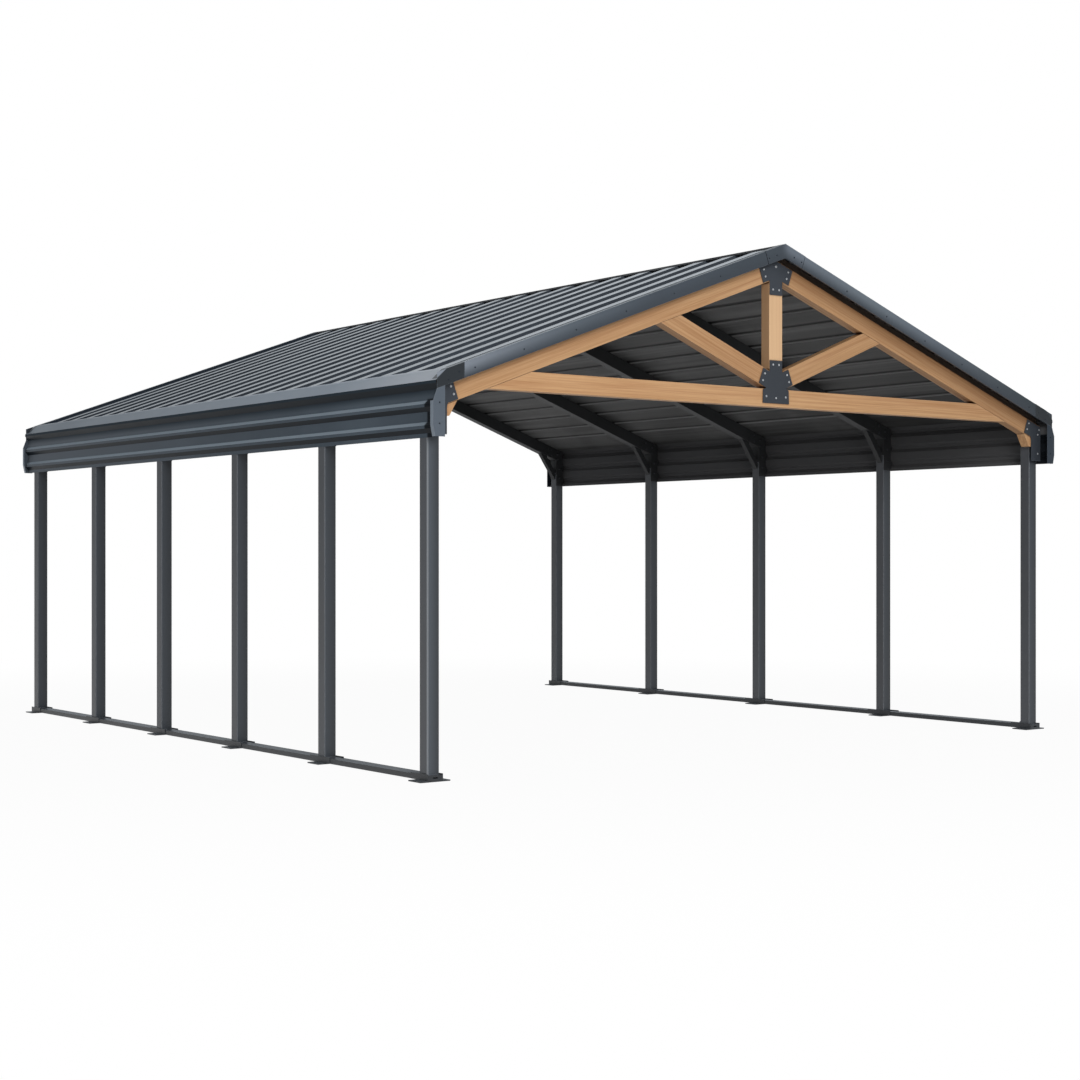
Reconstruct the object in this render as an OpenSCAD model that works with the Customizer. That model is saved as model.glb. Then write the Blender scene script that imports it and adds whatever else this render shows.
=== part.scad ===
// Gable-roof carport: steel posts on base rails, ribbed sheet roof with hanging
// eave skirts, and a timber king-post truss across the front.
// Millimetres. X runs across, Y runs from front to back, Z is up; the front faces -Y.

/* [Plan] */
// distance between the two post rows, centre to centre
row_span = 5800; // [5000:50:6600]
// distance from the front posts to the rear posts, centre to centre
row_length = 6300; // [5400:50:7200]
// reach of the roof past the end posts' centres
overhang = 185; // [160:5:260]

/* [Frame] */
// height of the post tops above the ground
post_top = 2280; // [2000:10:2700]
// width of the square posts
post_w = 90; // [80:2:110]
// wall thickness of the posts and base rails
tube_wall = 2.5; // [2:0.5:4]
// radius of the posts' outer corners
post_round = 7; // [4:1:10]
// depth of the steel rafters
rafter_h = 110; // [96:2:120]
// depth of the front pair of rafters, which lie on the timbers
front_rafter_h = 60; // [50:2:80]
// roof pitch in degrees
pitch = 20; // [17:0.5:23]
// width of the beam under the ridge
ridge_beam_w = 60; // [50:2:80]
// depth of the beam under the ridge
ridge_beam_h = 130; // [120:2:160]

/* [Brackets] */
// reach of a knee brace along the rafter from the post
brace_reach = 155; // [130:5:200]
// width of a knee brace
brace_w = 50; // [40:2:60]
// depth of a knee brace's foot below the post top, on the post's inner face
brace_drop = 24; // [16:1:30]
// thickness of the bolted gusset plates
gusset_t = 4; // [3:0.5:6]
// length of the gusset arms along the rafters
gusset_arm = 135; // [120:5:170]
// clearance between the gusset plates and the skirts
skirt_clear = 3; // [2:0.5:6]
// clearance between the gusset plates and the underside sheets
gusset_clear = 4; // [2:0.5:8]
// height of the gusset plates' feet above the skirt bottoms
gusset_up = 5; // [3:1:12]

/* [Timber truss] */
// face height of the timbers
wood_face = 127; // [114:1:140]
// setback of the timbers' back faces from the posts' back faces
wood_setback = 50; // [42:1:58]
// distance of the timbers' front faces before the posts' front faces
truss_out = 40; // [30:1:50]
// height of the corner blocks above the post tops, at the post centres
block_h = 45; // [35:1:65]
// distance from the post centres to the lower corners of the tie beam
tie_inset = 385; // [330:5:450]
// distance from the middle to the tops of the struts
strut_reach = 985; // [850:5:1150]
// height of the strut lines above the tie beam, at the middle
strut_rise = 36; // [30:1:44]
// reach of the corner blocks past the posts' inner faces, at the rafters
block_reach = 110; // [90:2:130]
// reach of the corner blocks past the posts' inner faces, at the post tops
block_foot = 50; // [36:2:64]

/* [Truss plates] */
// margin between the plates and the long edges of the timbers
plate_rim = 6; // [4:1:10]
// margin between the plates and the upright edges they follow
stem_rim = 3; // [2:0.5:5]
// length of the apex plate's arms along the rafters
apex_arm = 210; // [190:2:240]
// length of the apex plate's stem below the rafters
apex_stem = 95; // [80:1:120]
// length of the hub plate's arms along the struts
hub_arm = 154; // [140:2:190]
// width of the hub plate on the tie beam
hub_foot = 256; // [230:2:290]
// height of the hub plate's foot above the underside of the tie beam
hub_up = 26; // [15:1:45]
// step of the hub plate's waist past its stem
hub_waist = 34; // [26:1:42]
// height of the hub plate's stem above the tie beam
hub_stem = 204; // [190:1:250]
// reach of the corner plates' arms past the posts' inner faces
corner_arm = 74; // [60:1:90]
// reach of the corner plates' legs past the posts' inner faces
corner_in = 28; // [16:1:36]
// reach of the corner plates below the post tops
corner_foot = 116; // [90:1:130]
// drop of the corner plates' inner notch below the rafters
corner_notch = 16; // [10:1:24]

/* [Roof sheets] */
// thickness of the roof sheets, skirts and trims
sheet_t = 1.2; // [1:0.1:2]
// number of ribs along one roof slope
rib_count = 21; // [17:1:25]
// height of the roof ribs
rib_h = 16; // [12:1:20]
// width of a roof rib at its top
rib_top = 124; // [104:2:140]
// width of a roof rib at its foot
rib_base = 170; // [152:2:190]
// spacing of the lengthwise ribs of the underside sheets
ceiling_pitch = 235; // [210:5:270]
// height of the lengthwise ribs of the underside sheets
ceiling_rib_h = 15; // [10:1:20]
// width of an underside rib at its foot
ceiling_base = 62; // [50:2:80]
// width of an underside rib at its top
ceiling_top = 30; // [20:2:40]
// distance from the ridge edge of an underside sheet to its first rib
ceiling_first = 165; // [120:5:200]
// gap between the two underside sheets at the ridge
ceiling_gap = 14; // [10:1:30]
// distance from the underside sheets' low edges to the skirts
ceiling_clear = 35; // [25:1:50]
// gap between the two roof sheets at the ridge
sheet_gap = 44; // [30:2:60]
// distance from the roof sheets' low edges to the bend of the eave flashing
sheet_clear = 5; // [3:1:10]
// width of the ridge cap on each slope
cap_w = 110; // [90:5:160]
// clearance between the ridge cap's teeth and the roof ribs
tooth_clear = 1.5; // [1:0.5:3]

/* [Trims and skirts] */
// face height of the sloping edge trims
trim_h = 94; // [84:2:100]
// width of the edge trims' top flanges
trim_flange = 55; // [45:1:60]
// width of the edge trims' bottom lips
trim_lip = 14; // [10:1:20]
// reach of the edge trims past the posts' outer faces
trim_past = 20; // [14:1:26]
// gap between the edge trims' flanges and the eave flashing
trim_clear = 2; // [1:0.5:5]
// distance from the ends of the bottom lips to the skirts
lip_clear = 10; // [6:1:20]
// reach of the apex trims down each slope
apex_reach = 205; // [180:5:240]
// width of the apex trims' top flanges
apex_flange = 75; // [65:1:90]
// reach of the corner pieces inward from the posts' outer faces
corner_w = 185; // [165:1:205]
// distance from the bend of the eave flashing to the bend of the corner pieces
corner_clear = 4; // [2:1:8]
// depth of the skirt bottoms below the post tops
skirt_drop = 138; // [118:2:168]
// reach of the skirt ribs
skirt_rib = 22; // [16:1:26]
// height of the sloping underside of a skirt rib
rib_under = 28; // [22:1:34]
// height of the flat face of a skirt rib
rib_face = 20; // [16:1:26]
// height of the sloping top of a skirt rib
rib_shelf = 22; // [18:1:28]
// height of the flat hem below the lower skirt rib
hem_h = 26; // [20:1:34]
// height of the face of the eave nose
nose_face = 18; // [14:1:24]
// height of the slope under the eave nose
nose_under = 36; // [28:1:44]
// reach of the eave nose past the skirt
nose_out = 27; // [22:1:32]
// slope of the eave flashing in degrees
eave_angle = 42; // [38:1:46]
// distance from the bend of the eave flashing to the skirt
eave_w = 55; // [48:1:64]
// width of the eave flashing's flange on the roof
eave_flange = 40; // [30:1:50]
// width of the skirt end caps
end_cap_w = 88; // [76:2:100]
// reach of the end caps past the eave nose
end_cap_out = 22; // [14:1:28]
// reach of the end caps' feet past the skirt ribs
end_cap_foot = 12; // [6:1:16]
// height of the sloping shoulder of the end caps
end_cap_shoulder = 75; // [60:1:90]
// height of the sloping foot of the end caps
end_cap_toe = 70; // [55:1:85]
// depth of the end caps' outer returns
end_cap_depth = 32; // [24:1:40]

/* [Base] */
// width of the base rails
rail_w = 106; // [100:2:130]
// height of the base rails
rail_h = 34; // [30:1:45]
// width of the slots in the rail ends
slot_w = 36; // [30:2:44]
// height of the slots in the rail ends
slot_h = 8; // [6:1:12]
// size of the base plates across the rails
plate_x = 224; // [210:2:260]
// size of the base plates along the rails
plate_y = 140; // [120:2:160]
// thickness of the base plates
plate_t = 8; // [6:1:12]
// thickness of the upstanding wings of the base plates
wing_t = 4; // [3:0.5:6]
// reach of the wings each way along the rails from the post centres
wing_reach = 130; // [110:2:160]
// height of the wings above the rails
wing_up = 8; // [4:1:14]
// distance between the two anchor holes of a base plate
anchor_span = 172; // [164:2:186]
// diameter of the anchor holes
anchor_d = 13; // [11:1:16]

/* [Hidden] */
$fn = 48;
steel = "#3b4047";
dark_steel = "#26282b";
slate = "#474d55";
timber = "#b98a5f";

left_bays = 5;
right_bays = 4;
half_span = row_span / 2;
half_length = row_length / 2;
inner_x = half_span - post_w / 2;
outer_x = half_span + post_w / 2;
frame_y = half_length + post_w / 2;
edge_y = half_length + overhang;
sheet_y = edge_y - sheet_t;
rail_end = half_length + plate_y / 2;
wood_depth = post_w + truss_out - wood_setback;
truss_y = frame_y + truss_out;

// depths below the roof's top line, square to the slope
crest_n = sheet_t;
pan_n = crest_n + rib_h;
liner_n = pan_n + sheet_t;
ceiling_n = liner_n + ceiling_rib_h + sheet_t;
rafter_n = ceiling_n + front_rafter_h;
beam_n = ceiling_n + rafter_h;
wood_n = rafter_n + wood_face;

ridge_z = post_top + block_h + wood_n / cos(pitch) + tan(pitch) * half_span;
tie_z = ridge_z - tan(pitch) * (half_span - tie_inset) - wood_n / cos(pitch);
tie_top = tie_z + wood_face;
king_half = wood_face / 2;

// height of the line n below the roof's top, at distance x from the middle
function under(x, n) = ridge_z - tan(pitch) * abs(x) - n / cos(pitch);
// point u down the right slope from the ridge and n below the roof's top
function on_slope(u, n) = [u * cos(pitch) - n * sin(pitch), ridge_z - u * sin(pitch) - n * cos(pitch)];
// distance down the slope at which the line n below the roof's top reaches x
function slope_u(x, n) = (x + n * sin(pitch)) / cos(pitch);
// shift of a corner between two sheet faces of slopes a and b for thickness t
function corner_shift(a, b, t) = t * [cos(b) - cos(a), sin(a) - sin(b)] / sin(a - b);
function flipped(list) = [for (i = [len(list) - 1 : -1 : 0]) list[i]];
function mirrored(list) = [for (p = list) [-p[0], p[1]]];

// eave flashing and skirt, as a line along the inner face from the bottom up
fold_x = outer_x - eave_w;
flange_x = fold_x - eave_flange;
skirt_z = post_top - skirt_drop;
nose_x = outer_x + nose_out;
nose_z = under(fold_x, 0) - (nose_x + sheet_t - fold_x) * tan(eave_angle)
    - corner_shift(90, eave_angle, sheet_t)[1];
lip_z = nose_z - nose_face;
lip_foot_z = lip_z - nose_under;
rib_zone = rib_under + rib_face + rib_shelf;
skirt_flat = (lip_foot_z - skirt_z - hem_h - 2 * rib_zone) / 2;
rib_a = skirt_z + hem_h;
rib_b = rib_a + rib_zone + skirt_flat;

function rib_line(x, z) = [
    [x, z],
    [x + skirt_rib, z + rib_under],
    [x + skirt_rib, z + rib_under + rib_face],
    [x, z + rib_zone]
];
skirt_wall = concat(
    [[outer_x, skirt_z]],
    rib_line(outer_x, rib_a),
    rib_line(outer_x, rib_b),
    [[outer_x, lip_foot_z], [nose_x, lip_z]]
);
fold_shift = corner_shift(eave_angle, pitch, sheet_t);
eave_outer = concat(
    [for (p = skirt_wall) p + [sheet_t, 0]],
    [
        [nose_x, nose_z] + corner_shift(90, eave_angle, sheet_t),
        [fold_x, under(fold_x, 0)],
        [flange_x, under(flange_x, 0)]
    ]
);
eave_inner = concat(
    skirt_wall,
    [
        [nose_x, nose_z],
        [fold_x, under(fold_x, 0)] - fold_shift,
        [flange_x, under(flange_x, sheet_t)]
    ]
);

// end of the sloping trims, and the corner pieces that cover them
trim_end = outer_x + trim_past;
corner_start = outer_x - corner_w;
corner_bend = fold_x + corner_clear;
corner_drop = tan(eave_angle) * (trim_end - corner_bend);

// strut line from the middle of the truss to the rafter
hub_z = tie_top + strut_rise;
strut_slope = atan((under(strut_reach, wood_n) - hub_z) / strut_reach);
strut_dir = [cos(strut_slope), sin(strut_slope)];
strut_side = [-sin(strut_slope), cos(strut_slope)];
strut_foot = [0, hub_z];
rafter_dir = [cos(pitch), -sin(pitch)];
wood_line = [0, under(0, wood_n)];
function cross2(a, b) = a[0] * b[1] - a[1] * b[0];
// meeting point of the line from p along a with the line from q along b
function meet(p, a, q, b) = p + a * cross2(q - p, b) / cross2(a, b);

// shape drawn across the carport, points are x and z, between two distances y
module across(points, y0, y1) {
    translate([0, y1, 0])
        rotate([90, 0, 0])
            linear_extrude(y1 - y0)
                polygon(points);
}

function bay_y(i, bays) = -half_length + (i - 1) * row_length / bays;

module post(i, side, bays) {
    post_h = post_top - plate_t - rail_h;
    flat_w = post_w - 2 * post_round;
    color(steel)
        translate([side * half_span, bay_y(i, bays), plate_t + rail_h])
            difference() {
                union() {
                    translate([-flat_w / 2, -post_w / 2, 0])
                        cube([flat_w, post_w, post_h]);
                    translate([-post_w / 2, -flat_w / 2, 0])
                        cube([post_w, flat_w, post_h]);
                    for (x = [-1, 1], y = [-1, 1])
                        translate([x * flat_w / 2, y * flat_w / 2, 0])
                            cylinder(h = post_h, r = post_round);
                }
                translate([tube_wall - post_w / 2, tube_wall - post_w / 2, -1])
                    cube([post_w - 2 * tube_wall, post_w - 2 * tube_wall, post_h + 2]);
            }
}

module left_post(i) {
    post(i, -1, left_bays);
}

module right_post(i) {
    post(i, 1, right_bays);
}

module base_rail(side) {
    color(steel)
        translate([side * half_span, 0, plate_t])
            difference() {
                translate([-rail_w / 2, -rail_end, 0])
                    cube([rail_w, 2 * rail_end, rail_h]);
                translate([tube_wall - rail_w / 2, tube_wall - rail_end, tube_wall])
                    cube([rail_w - 2 * tube_wall, 2 * (rail_end - tube_wall), rail_h - 2 * tube_wall]);
                translate([-slot_w / 2, -rail_end - 1, (rail_h - slot_h) / 2])
                    cube([slot_w, 2 * rail_end + 2, slot_h]);
            }
}

module base_plates(side, bays) {
    color(steel)
        for (i = [1 : bays + 1]) {
            y = bay_y(i, bays);
            y0 = max(y - wing_reach, -rail_end);
            y1 = min(y + wing_reach, rail_end);
            difference() {
                union() {
                    translate([side * half_span - plate_x / 2, y - plate_y / 2, 0])
                        cube([plate_x, plate_y, plate_t]);
                    for (x = [-rail_w / 2 - wing_t, rail_w / 2])
                        translate([side * half_span + x, y0, plate_t])
                            cube([wing_t, y1 - y0, rail_h + wing_up]);
                }
                for (x = [-1, 1])
                    translate([side * half_span + x * anchor_span / 2, y, -1])
                        cylinder(h = plate_t + 2, d = anchor_d);
            }
        }
}

module rafter(y, x_in, foot_n) {
    across([
        [x_in, under(x_in, ceiling_n)],
        [outer_x, under(outer_x, ceiling_n)],
        [outer_x, under(outer_x, foot_n)],
        [x_in, under(x_in, foot_n)]
    ], y - post_w / 2, y + post_w / 2);
}

module rafters(bays) {
    color(dark_steel)
        for (i = [1 : bays + 1]) {
            x_in = i == 1 || i == bays + 1 ? 0 : ridge_beam_w / 2;
            rafter(bay_y(i, bays), x_in, i == 1 ? rafter_n : beam_n);
        }
}

module left_rafters() {
    mirror([1, 0, 0])
        rafters(left_bays);
}

module right_rafters() {
    rafters(right_bays);
}

module ridge_beam() {
    b = ridge_beam_w / 2;
    foot = under(b, ceiling_n) - ridge_beam_h;
    color(dark_steel)
        across([
            [0, under(0, ceiling_n)],
            [b, under(b, ceiling_n)],
            [b, foot],
            [-b, foot],
            [-b, under(b, ceiling_n)]
        ], post_w / 2 - half_length, half_length - post_w / 2);
}

// knee of a steel frame: a stub on the post, a slanted brace and a scalloped plate
module corner_bracket(y) {
    plate_x1 = outer_x - skirt_clear;
    brace_x = inner_x - brace_reach;
    plate_foot = skirt_z + gusset_up;
    arm_u = slope_u(inner_x, beam_n) - gusset_arm;
    low = [inner_x, post_top - brace_drop];
    rise = [brace_x, under(brace_x, beam_n)] - low;
    lean = rise / norm(rise);
    side = [lean[1], -lean[0]] * brace_w / 2;
    across([
        [inner_x, post_top],
        [outer_x, post_top],
        [outer_x, under(outer_x, beam_n)],
        [inner_x, under(inner_x, beam_n)]
    ], y - post_w / 2, y + post_w / 2);
    across([
        meet(low - side, lean, low, [0, 1]),
        meet(low + side, lean, low, [0, 1]),
        meet(low + side, lean, [0, under(0, beam_n)], rafter_dir),
        meet(low - side, lean, [0, under(0, beam_n)], rafter_dir)
    ], y - brace_w / 2, y + brace_w / 2);
    across(concat(
        [
            [inner_x, plate_foot],
            [plate_x1, plate_foot]
        ],
        rib_line(plate_x1, rib_a),
        rib_line(plate_x1, rib_b),
        [
            [plate_x1, under(plate_x1, ceiling_n + gusset_clear)],
            on_slope(arm_u, ceiling_n + gusset_clear),
            on_slope(arm_u, beam_n),
            [inner_x, under(inner_x, beam_n)]
        ]
    ), y - post_w / 2 - gusset_t, y - post_w / 2);
}

module corner_brackets(bays) {
    color(dark_steel)
        for (i = [2 : bays + 1])
            corner_bracket(bay_y(i, bays));
}

module left_corner_brackets() {
    mirror([1, 0, 0])
        corner_brackets(left_bays);
}

module right_corner_brackets() {
    corner_brackets(right_bays);
}

module timber_piece(points) {
    color(timber)
        across(points, -truss_y, wood_depth - truss_y);
}

module truss_right_rafter() {
    timber_piece([
        [0, under(0, rafter_n)],
        [outer_x, under(outer_x, rafter_n)],
        [outer_x, under(outer_x, wood_n)],
        [0, under(0, wood_n)]
    ]);
}

module truss_left_rafter() {
    mirror([1, 0, 0])
        truss_right_rafter();
}

module truss_tie_beam() {
    low = half_span - tie_inset;
    high = low - wood_face / tan(pitch);
    timber_piece([[-low, tie_z], [low, tie_z], [high, tie_top], [-high, tie_top]]);
}

module truss_king_post() {
    shoulder = under(king_half, wood_n);
    timber_piece([
        [-king_half, tie_top],
        [king_half, tie_top],
        [king_half, shoulder],
        [0, under(0, wood_n)],
        [-king_half, shoulder]
    ]);
}

module truss_right_strut() {
    edge = strut_side * wood_face / 2;
    king_side = [king_half, hub_z];
    timber_piece([
        meet(strut_foot - edge, strut_dir, king_side, [0, 1]),
        meet(strut_foot - edge, strut_dir, wood_line, rafter_dir),
        meet(strut_foot + edge, strut_dir, wood_line, rafter_dir),
        meet(strut_foot + edge, strut_dir, king_side, [0, 1])
    ]);
}

module truss_left_strut() {
    mirror([1, 0, 0])
        truss_right_strut();
}

module truss_corner_blocks() {
    top_x = inner_x - block_reach;
    foot_x = inner_x - block_foot;
    block = [
        [foot_x, post_top],
        [outer_x, post_top],
        [outer_x, under(outer_x, wood_n)],
        [top_x, under(top_x, wood_n)]
    ];
    timber_piece(block);
    timber_piece(mirrored(block));
}

// flat bolted plate on the front faces of the timbers
module front_plate(points) {
    color(slate)
        across(points, -truss_y - gusset_t, -truss_y);
}

module apex_plate() {
    stem = king_half - stem_rim;
    stem_foot = under(stem, wood_n) - apex_stem;
    half = [
        [stem, stem_foot],
        [stem, under(stem, wood_n - plate_rim)],
        on_slope(apex_arm, wood_n - plate_rim),
        on_slope(apex_arm, rafter_n + plate_rim)
    ];
    front_plate(concat(half, [[0, under(0, rafter_n + plate_rim)]], flipped(mirrored(half))));
}

module hub_plate() {
    foot_half = hub_foot / 2;
    stem = king_half - stem_rim;
    edge = strut_side * (wood_face / 2 - plate_rim);
    half = [
        [foot_half, tie_z + hub_up],
        [foot_half - stem_rim, tie_top - plate_rim],
        [stem + hub_waist, tie_top + plate_rim],
        strut_foot + strut_dir * hub_arm - edge,
        strut_foot + strut_dir * hub_arm + edge,
        meet(strut_foot + edge, strut_dir, [stem, hub_z], [0, 1]),
        [stem, tie_top + hub_stem]
    ];
    front_plate(concat(half, flipped(mirrored(half))));
}

module corner_plates() {
    arm_u = slope_u(inner_x - corner_arm, rafter_n + plate_rim);
    foot = post_top - corner_foot;
    left = inner_x - corner_in;
    right = outer_x - stem_rim;
    neck = left - plate_rim;
    plate = [
        [left, foot],
        [right, foot],
        [right, under(right, rafter_n + plate_rim)],
        on_slope(arm_u, rafter_n + plate_rim),
        on_slope(arm_u, wood_n - plate_rim),
        [neck, under(neck, wood_n - plate_rim)],
        [left, under(left, wood_n + corner_notch)]
    ];
    front_plate(plate);
    front_plate(mirrored(plate));
}

module right_roof_sheet() {
    spacing = 2 * sheet_y / rib_count;
    top_line = concat(
        [[-sheet_y, 0]],
        [for (i = [0 : rib_count - 1], k = [0 : 3]) [
            -sheet_y + spacing * (i + 0.5) + [-rib_base, -rib_top, rib_top, rib_base][k] / 2,
            [0, rib_h, rib_h, 0][k]
        ]],
        [[sheet_y, 0]]
    );
    low_line = [for (p = top_line) p - [0, sheet_t]];
    u0 = slope_u(sheet_gap / 2, pan_n);
    u1 = slope_u(fold_x - sheet_clear, pan_n);
    start = on_slope(u0, pan_n);
    color(slate)
        translate([start[0], 0, start[1]])
            rotate([0, 90 + pitch, 0])
                rotate([0, 0, 90])
                    linear_extrude(u1 - u0)
                        polygon(concat(low_line, flipped(top_line)));
}

module left_roof_sheet() {
    mirror([1, 0, 0])
        right_roof_sheet();
}

module right_ceiling_sheet() {
    u0 = slope_u(ceiling_gap / 2, ceiling_n);
    u1 = slope_u(outer_x - ceiling_clear, ceiling_n);
    rib_x = [-ceiling_base, -ceiling_top, ceiling_top, ceiling_base] / 2;
    ribs = floor((u1 - u0 - ceiling_first) / ceiling_pitch + 0.5);
    flat_n = ceiling_n - sheet_t;
    top_line = concat(
        [[u0, flat_n]],
        [for (i = [1 : ribs], k = [0 : 3]) [
            u0 + ceiling_first + ceiling_pitch * (i - 1) + rib_x[k],
            [flat_n, liner_n, liner_n, flat_n][k]
        ]],
        [[u1, flat_n]]
    );
    low_line = [for (p = top_line) p + [0, sheet_t]];
    color(dark_steel)
        across([for (p = concat(top_line, flipped(low_line))) on_slope(p[0], p[1])], -sheet_y, sheet_y);
}

module left_ceiling_sheet() {
    mirror([1, 0, 0])
        right_ceiling_sheet();
}

// teeth of the ridge cap's turned-down edge, one in each pan between two ribs
module ridge_teeth() {
    spacing = 2 * sheet_y / rib_count;
    start = on_slope(cap_w - sheet_t, pan_n);
    foot = rib_base / 2 + tooth_clear;
    top = rib_top / 2 + tooth_clear;
    translate([start[0], 0, start[1]])
        rotate([0, 90 + pitch, 0])
            rotate([0, 0, 90])
                linear_extrude(sheet_t)
                    for (i = [0 : rib_count - 2]) {
                        y0 = -sheet_y + spacing * (i + 0.5);
                        y1 = y0 + spacing;
                        polygon([
                            [y0 + foot, tooth_clear],
                            [y1 - foot, tooth_clear],
                            [y1 - top, rib_h],
                            [y1 - top, rib_h + sheet_t],
                            [y0 + top, rib_h + sheet_t],
                            [y0 + top, rib_h]
                        ]);
                    }
}

module ridge_cap() {
    half = [on_slope(cap_w, 0), on_slope(cap_w, sheet_t)];
    reach = edge_y - trim_flange;
    color(slate) {
        across(concat(
            [[0, under(0, 0)]],
            half,
            [[0, under(0, sheet_t)]],
            flipped(mirrored(half))
        ), -reach, reach);
        ridge_teeth();
        mirror([1, 0, 0])
            ridge_teeth();
    }
}

module right_eave_skirt() {
    color(slate)
        across(concat(eave_inner, flipped(eave_outer)), -sheet_y, sheet_y);
}

module left_eave_skirt() {
    mirror([1, 0, 0])
        right_eave_skirt();
}

// strip of the slope between two depths, from x0 to x1
function slope_strip(x0, x1, n0, n1) = [
    [x0, under(x0, n0)],
    [x1, under(x1, n0)],
    [x1, under(x1, n1)],
    [x0, under(x0, n1)]
];

// folded edge trim: face, top flange with a turned-down back edge, and bottom lip
module rake_trim() {
    flange_end = flange_x - trim_clear;
    lip_end = outer_x - lip_clear;
    across(slope_strip(0, trim_end, 0, trim_h), -edge_y, -sheet_y);
    across(slope_strip(0, flange_end, 0, sheet_t), -edge_y, trim_flange - edge_y);
    across(slope_strip(0, flange_end, 0, pan_n), trim_flange - edge_y - sheet_t, trim_flange - edge_y);
    across(slope_strip(0, lip_end, trim_h - sheet_t, trim_h), -edge_y, trim_lip - edge_y);
}

module front_right_rake_trim() {
    color(slate)
        rake_trim();
}

module front_left_rake_trim() {
    mirror([1, 0, 0])
        front_right_rake_trim();
}

module rear_right_rake_trim() {
    mirror([0, 1, 0])
        front_right_rake_trim();
}

module rear_left_rake_trim() {
    mirror([1, 0, 0])
        rear_right_rake_trim();
}

// folded piece that covers the meeting of two sloping trims
module front_apex_trim() {
    half = [on_slope(apex_reach, -sheet_t), on_slope(apex_reach, trim_h)];
    flange = [on_slope(apex_reach, -sheet_t), on_slope(apex_reach, 0)];
    color(slate) {
        across(concat(
            [[0, under(0, -sheet_t)]],
            half,
            [[0, under(0, trim_h)]],
            flipped(mirrored(half))
        ), -edge_y - sheet_t, -edge_y);
        across(concat(
            [[0, under(0, -sheet_t)]],
            flange,
            [[0, under(0, 0)]],
            flipped(mirrored(flange))
        ), -edge_y - sheet_t, apex_flange - edge_y);
    }
}

module rear_apex_trim() {
    mirror([0, 1, 0])
        front_apex_trim();
}

// corner piece over the low end of a sloping trim
module rake_corner() {
    end_z = under(corner_bend, -sheet_t) - corner_drop;
    cover = [
        [corner_start, under(corner_start, -sheet_t)],
        [corner_bend, under(corner_bend, -sheet_t)],
        [trim_end, end_z]
    ];
    across(concat(cover, [
        [trim_end, under(trim_end, trim_h)],
        [corner_start, under(corner_start, trim_h)]
    ]), -edge_y - sheet_t, -edge_y);
    across(concat(cover, flipped([for (p = cover) p - [0, sheet_t / cos(pitch)]])),
        -edge_y - sheet_t, trim_flange - edge_y);
}

// folded cap over the end of a skirt: a front face with an outer return
module skirt_cap() {
    top_x = trim_end;
    bulge_x = nose_x + end_cap_out;
    back = bulge_x - end_cap_w;
    foot_x = outer_x + skirt_rib + end_cap_foot;
    bulge_z = under(top_x, trim_h) - end_cap_shoulder;
    toe_z = skirt_z + end_cap_toe;
    face = [
        [top_x, under(top_x, trim_h)],
        [bulge_x, bulge_z],
        [bulge_x, toe_z],
        [foot_x, skirt_z],
        [back, skirt_z],
        [back, under(back, trim_h)]
    ];
    wall = [
        [bulge_x, bulge_z],
        [bulge_x, toe_z],
        [foot_x, skirt_z],
        [foot_x - sheet_t, skirt_z],
        [bulge_x - sheet_t, toe_z],
        [bulge_x - sheet_t, bulge_z]
    ];
    across(face, -edge_y, -sheet_y);
    across(wall, -edge_y, end_cap_depth - edge_y);
}

module front_skirt_caps() {
    color(slate)
        for (side = [0, 1])
            mirror([side, 0, 0]) {
                skirt_cap();
                rake_corner();
            }
}

module rear_skirt_caps() {
    mirror([0, 1, 0])
        front_skirt_caps();
}

left_post(1);  // left_post_1
left_post(2);  // left_post_2
left_post(3);  // left_post_3
left_post(4);  // left_post_4
left_post(5);  // left_post_5
left_post(6);  // left_post_6
right_post(1);  // right_post_1
right_post(2);  // right_post_2
right_post(3);  // right_post_3
right_post(4);  // right_post_4
right_post(5);  // right_post_5
base_rail(-1);  // left_base_rail
base_rail(1);  // right_base_rail
base_plates(-1, left_bays);  // left_base_plates
base_plates(1, right_bays);  // right_base_plates
left_rafters();
right_rafters();
ridge_beam();
left_corner_brackets();
right_corner_brackets();
truss_left_rafter();
truss_right_rafter();
truss_tie_beam();
truss_king_post();
truss_left_strut();
truss_right_strut();
truss_corner_blocks();
apex_plate();
hub_plate();
corner_plates();
left_roof_sheet();
right_roof_sheet();
left_ceiling_sheet();
right_ceiling_sheet();
ridge_cap();
left_eave_skirt();
right_eave_skirt();
front_left_rake_trim();
front_right_rake_trim();
rear_left_rake_trim();
rear_right_rake_trim();
front_apex_trim();
rear_apex_trim();
front_skirt_caps();
rear_skirt_caps();
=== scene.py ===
import math
import random

import bmesh
import bpy
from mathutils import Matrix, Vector


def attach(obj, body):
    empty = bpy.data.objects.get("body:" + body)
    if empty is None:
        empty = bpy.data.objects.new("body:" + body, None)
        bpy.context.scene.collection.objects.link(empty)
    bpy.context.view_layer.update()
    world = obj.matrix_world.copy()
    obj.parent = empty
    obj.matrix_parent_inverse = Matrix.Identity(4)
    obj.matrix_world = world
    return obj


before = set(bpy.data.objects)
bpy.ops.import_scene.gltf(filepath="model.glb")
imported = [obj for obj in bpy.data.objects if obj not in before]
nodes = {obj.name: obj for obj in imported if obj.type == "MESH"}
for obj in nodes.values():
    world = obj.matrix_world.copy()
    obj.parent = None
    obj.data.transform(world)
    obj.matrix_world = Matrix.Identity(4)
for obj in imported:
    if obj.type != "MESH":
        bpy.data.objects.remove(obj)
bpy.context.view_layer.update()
random.seed(7)

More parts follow.
